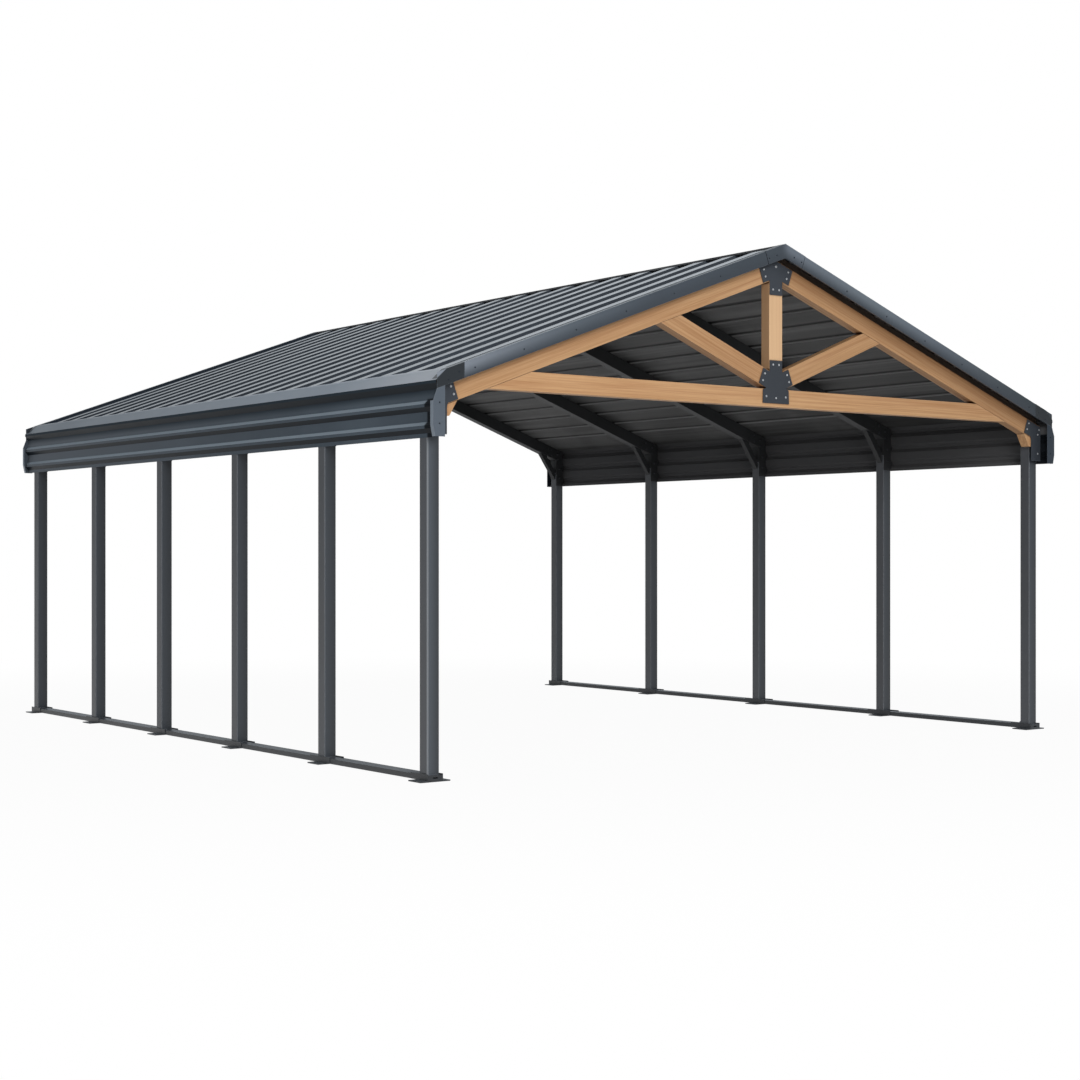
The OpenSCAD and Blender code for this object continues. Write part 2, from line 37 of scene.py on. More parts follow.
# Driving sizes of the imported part, in metres, by the names that its source gives them.
ROW_SPAN = 5.8
ROW_LENGTH = 6.3
OVERHANG = 0.185
POST_TOP = 2.28
POST_W = 0.090
PITCH = math.radians(20)
FRONT_RAFTER_H = 0.060
GUSSET_T = 0.004
WOOD_FACE = 0.127
TRUSS_OUT = 0.040
BLOCK_H = 0.045
TIE_INSET = 0.385
STRUT_REACH = 0.985
STRUT_RISE = 0.036
SHEET_T = 0.0012
RIB_COUNT = 21
RIB_H = 0.016
RIB_TOP = 0.124
RIB_BASE = 0.170
CEILING_RIB_H = 0.015
TRIM_H = 0.094
APEX_REACH = 0.205
LEFT_BAYS = 5
RIGHT_BAYS = 4

# Places worked out from them. A size that ends in N is a depth below the roof's top, square to the slope.
HALF_SPAN = ROW_SPAN / 2
HALF_LENGTH = ROW_LENGTH / 2
OUTER_X = HALF_SPAN + POST_W / 2
FRAME_Y = HALF_LENGTH + POST_W / 2
EDGE_Y = HALF_LENGTH + OVERHANG
SHEET_Y = EDGE_Y - SHEET_T
RIB_PITCH = 2 * SHEET_Y / RIB_COUNT
LAST_RIB_Y = SHEET_Y - RIB_PITCH / 2 - RIB_BASE / 2
LEFT_POSTS = [-HALF_LENGTH + ROW_LENGTH * i / LEFT_BAYS for i in range(LEFT_BAYS + 1)]
RIGHT_POSTS = [-HALF_LENGTH + ROW_LENGTH * i / RIGHT_BAYS for i in range(RIGHT_BAYS + 1)]
PAN_N = SHEET_T + RIB_H
CEILING_N = PAN_N + SHEET_T + CEILING_RIB_H + SHEET_T
RAFTER_N = CEILING_N + FRONT_RAFTER_H
WOOD_N = RAFTER_N + WOOD_FACE
RIDGE_Z = POST_TOP + BLOCK_H + WOOD_N / math.cos(PITCH) + math.tan(PITCH) * HALF_SPAN


def under(x, n):
    """Height of the line n below the roof's top, at distance x from the middle."""
    return RIDGE_Z - math.tan(PITCH) * abs(x) - n / math.cos(PITCH)


def on_slope(u, n):
    """Point u down the right slope from the ridge and n below the roof's top."""
    return (u * math.cos(PITCH) - n * math.sin(PITCH), RIDGE_Z - u * math.sin(PITCH) - n * math.cos(PITCH))


HUB_Z = under(HALF_SPAN - TIE_INSET, WOOD_N) + WOOD_FACE + STRUT_RISE


def srgb(r, g, b):
    """Linear colour of a colour given in 8-bit numbers."""
    def linear(c):
        c /= 255.0
        return c / 12.92 if c <= 0.04045 else ((c + 0.055) / 1.055) ** 2.4
    return (linear(r), linear(g), linear(b), 1.0)


class Tree:
    """The node tree of a material or a world, and short ways to add nodes to it."""

    def __init__(self, owner):
        owner.use_nodes = True
        self.tree = owner.node_tree
        self.tree.nodes.clear()

    def put(self, socket, value):
        """Links the socket to another one, or sets its value."""
        if isinstance(value, bpy.types.NodeSocket):
            self.tree.links.new(value, socket)
        else:
            socket.default_value = value

    def node(self, kind, inputs=None, **settings):
        """Adds a node and gives its outputs."""
        made = self.tree.nodes.new(kind)
        for key, value in settings.items():
            setattr(made, key, value)
        for key, value in (inputs or {}).items():
            self.put(made.inputs[key], value)
        return made.outputs

    def split(self, vector):
        return self.node("ShaderNodeSeparateXYZ", {0: vector})

    def maths(self, operation, a, b=0.0):
        return self.node("ShaderNodeMath", {0: a, 1: b}, operation=operation)[0]

    def times(self, *values):
        made = values[0]
        for value in values[1:]:
            made = self.maths("MULTIPLY", made, value)
        return made

    def spread(self, value, low, high, to_low=0.0, to_high=1.0, course="LINEAR"):
        """Takes a value from one range to another and holds it at the ends."""
        inputs = {"Value": value, "From Min": low, "From Max": high, "To Min": to_low, "To Max": to_high}
        return self.node("ShaderNodeMapRange", inputs, interpolation_type=course)[0]


class Surface(Tree):
    """A principled material whose tone can follow the place on the part and the way that a face looks."""

    def __init__(self, name):
        self.material = bpy.data.materials.new(name)
        super().__init__(self.material)
        self.shader = self.tree.nodes.new("ShaderNodeBsdfPrincipled")
        self.node("ShaderNodeOutputMaterial", {"Surface": self.shader.outputs["BSDF"]})
        self.spot = self.node("ShaderNodeTexCoord")["Object"]
        self.normal = self.node("ShaderNodeNewGeometry")["True Normal"]
        self.x, self.y, self.z = self.split(self.spot)
        self.right, self.back, self.up = self.split(self.normal)

    def scaled(self, scale, shift=(0, 0, 0), vector=None):
        inputs = {"Vector": vector or self.spot, "Scale": scale, "Location": shift}
        return self.node("ShaderNodeMapping", inputs)["Vector"]

    def noise(self, vector, scale, detail=3.0, rough=0.5, warp=0.0):
        inputs = {"Vector": vector, "Scale": scale, "Detail": detail, "Roughness": rough, "Distortion": warp}
        return self.node("ShaderNodeTexNoise", inputs)["Fac"]

    def ramp(self, value, stops):
        """Tone along a value, from stops of a place and an 8-bit colour."""
        made = self.tree.nodes.new("ShaderNodeValToRGB")
        self.put(made.inputs["Fac"], value)
        bar = made.color_ramp.elements
        while len(bar) < len(stops):
            bar.new(0.5)
        for item, (place, colour) in zip(bar, stops):
            item.position = place
            item.color = srgb(*colour)
        return made.outputs["Color"]

    def mix(self, amount, tone, other):
        """Lays another tone, or an 8-bit colour, over a tone."""
        top = srgb(*other) if isinstance(other, tuple) else other
        return self.node("ShaderNodeMix", {0: amount, 6: tone, 7: top}, data_type="RGBA")[2]

    def bump(self, height, strength, distance):
        inputs = {"Height": height, "Strength": strength, "Distance": distance}
        return self.node("ShaderNodeBump", inputs)["Normal"]

    def edges(self, radius, low, high):
        """Mask that is 1 along edges and 0 on flat faces."""
        soft = self.node("ShaderNodeBevel", {"Radius": radius}, samples=4)["Normal"]
        turn = self.node("ShaderNodeVectorMath", {0: soft, 1: self.normal}, operation="DOT_PRODUCT")["Value"]
        return self.spread(turn, 1.0 - low, 1.0 - high)

    def finish(self, tone, rough, normal, metallic, specular):
        inputs = {"Base Color": tone, "Roughness": rough, "Normal": normal, "Metallic": metallic,
                  "Specular IOR Level": specular}
        for key, value in inputs.items():
            self.put(self.shader.inputs[key], value)
        return self.material


# Measures of a point's place on the part, or of the way that its face looks, for the zones of the coats.
# Each range runs from where a zone begins to where it is full.
UPWARD = (0.15, 0.35)
AHEAD = (-0.4, -0.8)
BROW_Z = (2.45, 2.47)
NOSE_Z = (2.390, 2.435)
SKIRT_END_Y = (-3.190, -3.205)
SKIRT_END_Z = (2.385, 2.375)
FRONT_FRAME_Y = (-2.9, -3.0)
NEAR_Y = (-2.0, -3.2)
FAR_Y = (-3.0, 3.0)
FADE_Y = (-2.0, 3.3)
RIB_FADE = 0.02
GROOVE_N = (0.0304, 0.0210)
GROOVE_WALL_N = (0.0219, 0.0294)
ARRIS_SQUARE = (0.00012, 0.00005)


def place_x(s):
    return s.x


def place_y(s):
    return s.y


def looks_up(s):
    return s.up


def looks_out(s):
    """1 on a face that looks away from the middle plane, -1 on one that looks to it."""
    return s.maths("MULTIPLY", s.maths("SIGN", s.x), s.right)


def depth(s):
    """Depth below the roof's top, square to the slope."""
    rise = s.maths("ADD", s.z, s.maths("MULTIPLY", s.maths("ABSOLUTE", s.x), math.tan(PITCH)))
    return s.maths("MULTIPLY", s.maths("SUBTRACT", RIDGE_Z, rise), math.cos(PITCH))


def front(s):
    return s.spread(s.back, *AHEAD)


def front_frame(s):
    return s.times(front(s), s.spread(s.y, *FRONT_FRAME_Y))


def first_post(s):
    """Front of the first left post."""
    return s.times(front_frame(s), s.spread(s.x, 0.1, -0.1))


def first_arris_highlight(s):
    """Painted highlight along the outer front edge of the first left post."""
    across = s.maths("POWER", s.maths("ADD", s.x, OUTER_X), 2.0)
    along = s.maths("POWER", s.maths("ADD", s.y, FRAME_Y), 2.0)
    return s.spread(s.maths("ADD", across, along), *ARRIS_SQUARE)


def post_sheen(s):
    """Painted sheen and shade across the fronts of the posts, from 0 at the left edge to 1 at the right
    edge, where the shade is full.
    """
    across = s.maths("SUBTRACT", s.x, s.maths("MULTIPLY", s.maths("SIGN", s.x), HALF_SPAN))
    return s.times(s.spread(across, -POST_W / 2, POST_W / 2), front(s))


def last_rib(s):
    """Rear rib of the roof sheets."""
    return s.spread(s.y, LAST_RIB_Y - RIB_FADE, LAST_RIB_Y)


def dull_rear(s):
    return s.maths("MAXIMUM", s.spread(s.y, *FADE_Y, 0.0, 0.7), last_rib(s))


def groove(s):
    return s.spread(depth(s), *GROOVE_N)


def groove_wall(s):
    """Walls of the ceiling's grooves that look to the middle plane."""
    return s.times(s.spread(looks_out(s), -0.45, -0.60), s.spread(depth(s), *GROOVE_WALL_N))


def skirt_end_shadow(s):
    """Painted shadow at the front end of a skirt, below the nose."""
    return s.times(s.spread(s.y, *SKIRT_END_Y), s.spread(s.z, *SKIRT_END_Z))


# Painted shade on the near-vertical faces just under the nose.
def under_nose_shade(s):
    return s.times(s.spread(s.z, *NOSE_Z), s.spread(s.maths("ABSOLUTE", s.up), 0.2, 0.1))


def brow(s):
    """Flashing above the nose."""
    return s.maths("MULTIPLY", s.up, s.spread(s.z, *BROW_Z))


def brow_part(s, reach):
    return s.times(s.spread(s.up, *UPWARD), s.spread(s.z, *BROW_Z), s.spread(s.y, *reach))


def near_brow(s):
    return brow_part(s, NEAR_Y)


def far_brow(s):
    return brow_part(s, FAR_Y)


# Materials.
PALE_WOOD = (222, 187, 148)
RUN_X = 3.0
RUN_SHARE = 0.8
PALER = 46


def timber(name, angle, shift, top=0.0, foot=0.0, pale=0.0):
    """Stained softwood with its grain at an angle in the truss's plane, shaded at its top and its foot."""
    s = Surface(name)
    turned_spot = {"Vector": s.spot, "Angle": math.radians(angle)}
    line = s.node("ShaderNodeVectorRotate", turned_spot, rotation_type="Y_AXIS")["Vector"]
    bands = s.noise(s.scaled((0.5, 16, 16), shift, line), 1.0, 3.0, 0.5, 0.5)
    flame = s.noise(s.scaled((0.9, 55, 55), shift, line), 1.0, 3.0, 0.55, 0.8)
    rings = s.noise(s.scaled((1.6, 150, 150), shift, line), 1.0, 4.0, 0.55, 0.3)
    fibre = s.noise(s.scaled((14, 600, 600), shift, line), 1.0, 3.0, 0.6)
    cloud = s.noise(s.scaled((1.4, 3.0, 3.0), shift, line), 1.0, 2.0, 0.5)
    tone = s.ramp(rings, [(0.30, (168, 125, 85)), (0.48, (185, 143, 102)), (0.62, (192, 151, 110)),
                          (0.78, (198, 159, 118))])
    tone = s.mix(s.spread(bands, 0.40, 0.70, 0.0, 0.12), tone, (168, 122, 83))
    tone = s.mix(s.spread(cloud, 0.35, 0.70, 0.0, 0.20), tone, (206, 166, 124))
    tone = s.mix(s.spread(flame, 0.36, 0.52, 0.42, 0.0), tone, (160, 112, 76))
    tone = s.mix(s.spread(flame, 0.52, 0.66, 0.0, 0.28), tone, (211, 171, 128))
    tone = s.mix(s.spread(fibre, 0.36, 0.50, 0.14, 0.0), tone, (142, 100, 66))
    # Painted light: pale lifts the face towards PALE_WOOD, and painted shade darkens the faces that look to
    # the sides.
    if pale:
        tone = s.mix(pale, tone, PALE_WOOD)
        tone = s.mix(s.spread(s.maths("ABSOLUTE", s.right), 0.6, 0.9, 0.0, 0.5), tone, (120, 80, 48))
    # Pale edges: partly wear, partly painted highlight.
    tone = s.mix(s.spread(s.edges(0.007, 0.02, 0.22), 0.0, 1.0, 0.0, 0.6), tone, PALE_WOOD)
    # Darker where faces close in: dark joints, and painted shade in the creases between parts.
    joints_and_crease_shade = s.node("ShaderNodeAmbientOcclusion", {"Distance": 0.02}, samples=8)["AO"]
    tone = s.mix(s.spread(joints_and_crease_shade, 0.96, 0.70, 0.0, 0.95), tone, (66, 40, 24))
    # Painted shade at the top and at the foot of the piece.
    if top:
        tone = s.mix(s.spread(depth(s), WOOD_N, RAFTER_N, foot, top), tone, (96, 62, 36))
    height = s.maths("ADD", s.maths("MULTIPLY", rings, 0.6), s.maths("MULTIPLY", fibre, 0.4))
    rough = s.spread(rings, 0.3, 0.7, 0.68, 0.54)
    return s.finish(tone, rough, s.bump(height, 0.3, 0.001), metallic=0.0, specular=0.3)


def coated(name, tones, rough, specular, grain=0.06, streak=None, gain=0.22, wear_and_highlight=0.0, edge=0.004,
           zones=(), tint=None, run=()):
    """Powder-coated steel: cloudy tone, fine orange peel, streaks, zones of other tones and pale edges.

    A zone is a measure, its range and a colour; the zones here paint light and shade into the tone.
    The pale edges are partly wear and partly painted highlight.
    A specular level can be a measure with both its ranges.
    """
    s = Surface(name)
    dark, mid, light = tones
    cloud = s.noise(s.scaled((1, 1, 0.45)), 1.3, 4.0, 0.5, 0.3)
    peel = s.noise(s.spot, 620.0, 2.0, 0.5)
    speck = s.noise(s.spot, 1900.0, 1.0, 0.5)
    tone = s.ramp(cloud, [(0.28, dark), (0.50, mid), (0.74, light)])
    # Painted reflection: a ramp of light and dark tones along x.
    if run:
        stops = [((x + RUN_X) / (2 * RUN_X), colour) for x, colour in run]
        tone = s.mix(RUN_SHARE, tone, s.ramp(s.spread(s.x, -RUN_X, RUN_X), stops))
    tone = s.mix(s.spread(speck, 0.56, 0.72, 0.0, 0.08), tone, light)
    if streak:
        lines = s.noise(s.scaled(streak), 1.0, 3.0, 0.55)
        tone = s.mix(s.spread(lines, 0.50, 0.68, 0.0, gain), tone, light)
        tone = s.mix(s.spread(lines, 0.34, 0.48, gain, 0.0), tone, dark)
    for measure, low, high, colour in zones:
        tone = s.mix(s.spread(measure(s), low, high), tone, colour)
    # Pale edges: partly wear, partly painted highlight along the arrises.
    if wear_and_highlight:
        pale = tuple(min(255, c + PALER) for c in light)
        tone = s.mix(s.spread(s.edges(edge, 0.03, 0.3), 0.0, 1.0, 0.0, wear_and_highlight), tone, pale)
    if tint:
        s.put(s.shader.inputs["Specular Tint"], tint)
    if isinstance(specular, tuple):
        measure, *ranges = specular
        specular = s.spread(measure(s), *ranges)
    gloss = s.spread(cloud, 0.3, 0.7, *rough)
    return s.finish(tone, gloss, s.bump(peel, grain, 0.0006), metallic=0.0, specular=specular)


def metal(name, dark, light, rough):
    """Plated fastener steel with fine turning marks."""
    s = Surface(name)
    blot = s.noise(s.spot, 160.0, 3.0, 0.6)
    mark = s.noise(s.spot, 2400.0, 2.0, 0.5)
    tone = s.ramp(blot, [(0.3, dark), (0.7, light)])
    gloss = s.spread(blot, 0.3, 0.7, rough, rough + 0.14)
    return s.finish(tone, gloss, s.bump(mark, 0.12, 0.0003), metallic=0.75, specular=0.5)


# Posts: painted shade on the fronts, painted light on the front of the first left post, a painted sheen that
# darkens each front towards its right edge, and a painted highlight on the first post's outer arris.
post_coat = coated(
    "post_coat", ((64, 66, 69), (71, 73, 77), (80, 83, 88)), (0.34, 0.44), 0.45, wear_and_highlight=0.85, edge=0.008,
    zones=[(front, 0, 1, (62, 67, 73)),
           (first_post, 0, 1, (76, 82, 89)),
           (post_sheen, 0, 1, (44, 47, 51)),
           (first_arris_highlight, 0, 1, (112, 116, 120))])
# Bases: painted light on the faces that look up.
base_coat = coated(
    "base_coat", ((38, 40, 43), (44, 46, 49), (54, 57, 61)), (0.34, 0.44), 0.4, wear_and_highlight=0.35,
    zones=[(looks_up, 0.5, 0.9, (80, 84, 89))])
# Dark steel: its fronts in the front frame are brown-grey, painted shadow that carries on the shaded top of
# the timber.
dark_coat = coated(
    "dark_coat", ((36, 37, 38), (41, 42, 43), (50, 51, 53)), (0.5, 0.62), 0.2, wear_and_highlight=0.35,
    zones=[(front_frame, 0, 1, (78, 66, 57))])
plate_coat = coated(
    "plate_coat", ((48, 52, 58), (53, 57, 63), (61, 66, 73)), (0.45, 0.58), 0.3, wear_and_highlight=0.25)
# Trims: painted shade on their lower part, and a painted reflection that runs light and dark along them.
trim_coat = coated(
    "trim_coat", ((50, 56, 63), (58, 64, 72), (68, 75, 84)), (0.34, 0.44), 0.35, wear_and_highlight=0.6,
    zones=[(depth, 0.0247, 0.0905, (54, 60, 67))],
    run=[(-2.9, (134, 141, 151)), (-2.5, (112, 119, 128)), (-1.9, (84, 92, 100)), (-1.2, (62, 69, 77)),
         (-0.03, (57, 64, 71)), (0.03, (104, 112, 122)), (0.9, (106, 115, 123)), (1.55, (97, 105, 115)),
         (2.15, (75, 82, 88)), (2.7, (49, 57, 62))])
rear_coat = coated(
    "rear_coat", ((48, 54, 61), (56, 62, 70), (66, 73, 82)), (0.40, 0.52), 0.3, wear_and_highlight=0.15)
# End caps: painted shade on the caps on the right, and painted light on the faces that look out.
end_coat = coated(
    "end_coat", ((73, 80, 88), (80, 88, 97), (90, 98, 108)), (0.30, 0.40), 0.35, wear_and_highlight=0.35,
    zones=[(place_x, -0.1, 0.1, (41, 50, 60)),
           (looks_out, 0.3, 0.6, (122, 132, 143)),
           (depth, 0.0952, 0.0933, (38, 42, 46))])
# Skirts and flashing: painted light towards the rear, on faces that look up and on the flashing, brightest
# at its near end and dimmer at its far end; painted shade under the nose, on faces that look down and at the
# front ends. The inner faces are a lighter grey coat.
skirt_coat = coated(
    "skirt_coat", ((71, 80, 88), (79, 88, 97), (87, 97, 106)), (0.285, 0.36), 0.045, grain=0.04,
    streak=(4, 0.5, 4), tint=(0.70, 0.86, 1, 1),
    zones=[(place_y, *FADE_Y, (100, 106, 113)),
           (looks_up, *UPWARD, (136, 148, 158)),
           (brow, *UPWARD, (137, 147, 159)),
           (far_brow, 0, 1, (100, 108, 117)),
           (near_brow, 0, 1, (168, 174, 182)),
           (under_nose_shade, 0, 1, (42, 51, 59)),
           (looks_up, -0.2, -0.5, (22, 28, 34)),
           (looks_out, -0.02, -0.08, (80, 80, 81)),
           (skirt_end_shadow, 0, 1, (24, 27, 31))])
# Roof: painted shade on the rear rib; its gloss fades towards the rear.
roof_coat = coated(
    "roof_coat", ((36, 43, 52), (42, 49, 58), (52, 60, 70)), (0.16, 0.22), (dull_rear, 0, 1, 0.5, 0.0),
    grain=0.03, streak=(0.8, 24, 24), tint=(0.84, 0.92, 1, 1),
    zones=[(last_rib, 0, 1, (46, 53, 62))])
# Near black: painted shade on the ridge cap. The same coat is used for the dark seals at the apex trims'
# ends.
cap_coat = coated(
    "cap_coat", ((14, 15, 17), (18, 19, 22), (26, 28, 32)), (0.6, 0.75), 0.08)
# Ceilings: painted shade in the grooves and painted light on the groove walls that look to the middle.
under_coat = coated(
    "under_coat", ((38, 38, 38), (56, 56, 56), (92, 92, 92)), (0.5, 0.62), 0.14,
    streak=(9, 0.16, 9), gain=0.7,
    zones=[(groove, 0, 1, (28, 28, 28)),
           (groove_wall, 0, 1, (124, 124, 124))])
zinc = metal("zinc", (176, 178, 181), (216, 218, 220), 0.28)
black_bolt = metal("black_bolt", (40, 42, 45), (74, 77, 82), 0.38)
slate_screw = metal("slate_screw", (40, 45, 52), (60, 67, 76), 0.4)

# Angle in degrees and place of each timber's grain, and the shades that the photograph's light gives it.
GRAIN = {
    "truss_left_rafter": dict(angle=20, shift=(3.1, 0.4, 7.7), top=0.22, foot=0.08),
    "truss_right_rafter": dict(angle=-20, shift=(8.3, 2.2, 1.9), top=0.66, foot=0.15),
    "truss_tie_beam": dict(angle=0, shift=(5.7, 6.1, 3.3)),
    "truss_king_post": dict(angle=90, shift=(1.3, 9.4, 4.6), pale=0.6),
    "truss_left_strut": dict(angle=-22, shift=(6.6, 3.8, 8.2), top=0.18, foot=0.18),
    "truss_right_strut": dict(angle=22, shift=(2.4, 7.3, 5.5), top=0.18, foot=0.18),
    "truss_corner_blocks": dict(angle=90, shift=(9.1, 1.6, 2.8)),
}
WOOD_ROUND = 0.004
BASE_ROUND = 0.0012
BAR_ROUND = 0.0015
PLATE_ROUND = 0.001
WELD_GAP = 0.00005
ROUND_ANGLE = math.radians(30)


def dress(name, material, width=0.0, segments=2):
    """Gives a CAD node its material and, where its edges are worked, a small round on them."""
    piece = nodes[name]
    piece.data.materials.clear()
    piece.data.materials.append(material)
    if width:
        weld = piece.modifiers.new("weld", "WELD")
        weld.merge_threshold = WELD_GAP
        round_off = piece.modifiers.new("round", "BEVEL")
        round_off.width = width
        round_off.segments = segments
        round_off.limit_method = "ANGLE"
        round_off.angle_limit = ROUND_ANGLE


for name in nodes:
    if name in GRAIN:
        dress(name, timber("wood_" + name, **GRAIN[name]), WOOD_ROUND, segments=3)
    elif "post" in name:
        dress(name, post_coat)
    elif "base" in name:
        dress(name, base_coat, BASE_ROUND)
    elif "rafters" in name or "brackets" in name or name == "ridge_beam":
        dress(name, dark_coat, BAR_ROUND)
    elif name.endswith("plate") or name == "corner_plates":
        dress(name, plate_coat, PLATE_ROUND)
    elif "roof_sheet" in name:
        dress(name, roof_coat)
    elif "ceiling" in name:
        dress(name, under_coat)
    elif "eave" in name:
        dress(name, skirt_coat)
    elif name == "ridge_cap":
        dress(name, cap_coat)
    elif "caps" in name:
        dress(name, end_coat)
    elif name.startswith("rear"):
        dress(name, rear_coat)
    else:
        dress(name, trim_coat)


def place(mesh, name, material, slot):
    data = bpy.data.meshes.new(name)
    mesh.to_mesh(data)
    mesh.free()
    data.materials.append(material)
    piece = bpy.data.objects.new(name, data)
    bpy.context.scene.collection.objects.link(piece)
    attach(piece, "root")


def turned(mesh, spot, way, profile, sides, spin=0.0):
    """Adds a turned form to the mesh: rings of (radius, height) along the direction way."""
    axis = Vector(way).normalized()
    side = axis.orthogonal().normalized()
    other = axis.cross(side)
    angles = [spin + 2 * math.pi * k / sides for k in range(sides)]
    rings = []
    for radius, height in profile:
        middle = Vector(spot) + axis * height
        points = [middle + radius * (side * math.cos(a) + other * math.sin(a)) for a in angles]
        rings.append([mesh.verts.new(point) for point in (points if radius else [middle])])
    for low, high in zip(rings, rings[1:]):
        for k in range(sides):
            m = (k + 1) % sides
            corners = [high[0]] if len(high) == 1 else [high[m], high[k]]
            mesh.faces.new([low[k], low[m]] + corners)
    mesh.faces.new(rings[0][::-1])


def button_bolt(mesh, spot, way, r):
    """Washer with a domed bolt head of radius r on it."""
    washer = [(r * 1.35, 0), (r * 1.35, r * 0.16), (r * 1.25, r * 0.24)]
    head = [(r, r * 0.24), (r, r * 0.42), (r * 0.86, r * 0.68), (r * 0.55, r * 0.86), (0, r * 0.92)]
    turned(mesh, spot, way, washer + head, sides=20)


def hex_screw(mesh, spot, way, r, spin):
    """Sealing washer with a six-sided screw head of radius r on it."""
    washer = [(r * 1.7, 0), (r * 1.7, r * 0.16), (r * 1.35, r * 0.42), (0, r * 0.42)]
    head = [(r, r * 0.3), (r, r * 1.02), (r * 0.84, r * 1.2), (0, r * 1.2)]
    turned(mesh, spot, way, washer, sides=14)
    turned(mesh, spot, way, head, sides=6, spin=spin)


def bar(mesh, first, last):
    """Adds a closed bar between two loops of points."""
    ends = [[mesh.verts.new(point) for point in loop] for loop in (first, last)]
    for k in range(len(first)):
        m = (k + 1) % len(first)
        mesh.faces.new((ends[0][k], ends[0][m], ends[1][m], ends[1][k]))
    mesh.faces.new(ends[0][::-1])
    mesh.faces.new(ends[1])


# Bolts of the truss plates, with places as (x, z) on the right half.
FRONT = (0, -1, 0)
PLATE_FRONT_Y = -(FRAME_Y + TRUSS_OUT + GUSSET_T)
PLATE_BOLT_R = 0.0058
APEX_BOLTS = [(0.120, 3.4375), (0.1035, 3.389), (0.0295, 3.3025)]
APEX_TOP_BOLT_Z = 3.468
HUB_BOLTS = [(0.0283, 2.767), (0.095, 2.539)]
HUB_FOOT_BOLT_Z = 2.529
STRUT_BOLT_U = 0.127
STRUT_BOLT_OFF = 0.0265
CORNER_BOLTS = [(2.797, 2.466), (2.776, 2.418), (2.908, 2.378), (2.924, 2.416), (2.908, 2.224)]


def bolt_pairs(mesh, places):
    for side in (-1, 1):
        for x, z in places:
            button_bolt(mesh, (side * x, PLATE_FRONT_Y, z), FRONT, PLATE_BOLT_R)


mesh = bmesh.new()
bolt_pairs(mesh, APEX_BOLTS)
place(mesh, "apex_plate_bolts", zinc, "plate_steel")

mesh = bmesh.new()
hex_screw(mesh, (0, PLATE_FRONT_Y, APEX_TOP_BOLT_Z), FRONT, PLATE_BOLT_R, spin=0.4)
place(mesh, "apex_plate_top_bolt", zinc, "plate_steel")

strut = math.atan((under(STRUT_REACH, WOOD_N) - HUB_Z) / STRUT_REACH)
strut_bolts = []
for off in (-STRUT_BOLT_OFF, STRUT_BOLT_OFF):
    x = STRUT_BOLT_U * math.cos(strut) - off * math.sin(strut)
    z = STRUT_BOLT_U * math.sin(strut) + off * math.cos(strut)
    strut_bolts.append((x, HUB_Z + z))
mesh = bmesh.new()
bolt_pairs(mesh, HUB_BOLTS + strut_bolts)
button_bolt(mesh, (0, PLATE_FRONT_Y, HUB_FOOT_BOLT_Z), FRONT, PLATE_BOLT_R)
place(mesh, "hub_plate_bolts", zinc, "plate_steel")

mesh = bmesh.new()
bolt_pairs(mesh, CORNER_BOLTS)
place(mesh, "corner_plate_bolts", zinc, "plate_steel")

# Dark bolts of the brackets at the inner and rear posts.
BRACKET_BOLT_R = 0.0062
BRACKET_BOLTS = [(2.790, 2.532), (2.796, 2.472), (2.872, 2.486), (2.872, 2.430), (2.900, 2.330),
                 (2.900, 2.232)]
for label, side, rows in (("left", -1, LEFT_POSTS[1:]), ("right", 1, RIGHT_POSTS[1:])):
    mesh = bmesh.new()
    for y in rows:
        for x, z in BRACKET_BOLTS:
            hex_screw(mesh, (side * x, y - POST_W / 2 - GUSSET_T, z), FRONT, BRACKET_BOLT_R, spin=0.3)
    place(mesh, label + "_bracket_bolts", black_bolt, "dark_steel")

# Small coated screws on the edge trims, their apex and corner pieces and the end caps.
TRIM_SCREW_R = 0.0034
TRIM_SCREW_N = 0.055
TRIM_SCREW_X = [0.62, 1.04, 1.46, 1.88, 2.30, 2.68]
COVER_SCREWS = [(0.085, 0.055), (0.158, 0.055), (2.800, 0.046), (2.880, 0.070)]
CAP_SCREWS = [(2.946, 2.352), (2.946, 2.222)]
for label, way in (("front", -1), ("rear", 1)):
    mesh = bmesh.new()
    out = (0, way, 0)
    for side in (-1, 1):
        for x in TRIM_SCREW_X:
            hex_screw(mesh, (side * x, way * EDGE_Y, under(x, TRIM_SCREW_N)), out, TRIM_SCREW_R, spin=x)
        for x, n in COVER_SCREWS:
            hex_screw(mesh, (side * x, way * (EDGE_Y + SHEET_T), under(x, n)), out, TRIM_SCREW_R, spin=x)
        for x, z in CAP_SCREWS:
            hex_screw(mesh, (side * x, way * EDGE_Y, z), out, TRIM_SCREW_R, spin=z)
    place(mesh, label + "_trim_screws", slate_screw, "roof_sheet")

# Dark seals along the ends of the apex trims: (distance past the trim's end, height on the edge trim).
SEAL = [(0.0002, -0.0004), (0.0002, 0.0011), (0.0028, 0.0009), (0.0054, -0.0004)]
SEAL_N = (-0.0008, TRIM_H - 0.0004)
for label, way in (("front", -1), ("rear", 1)):
    mesh = bmesh.new()
    for side in (-1, 1):
        ends = []
        for n in SEAL_N:
            spots = [(on_slope(APEX_REACH + past, n), EDGE_Y + h) for past, h in SEAL]
            ends.append([(side * x, way * y, z) for (x, z), y in spots])
        bar(mesh, *ends)
    bmesh.ops.recalc_face_normals(mesh, faces=mesh.faces)
    place(mesh, label + "_apex_seals", cap_coat, "roof_sheet")

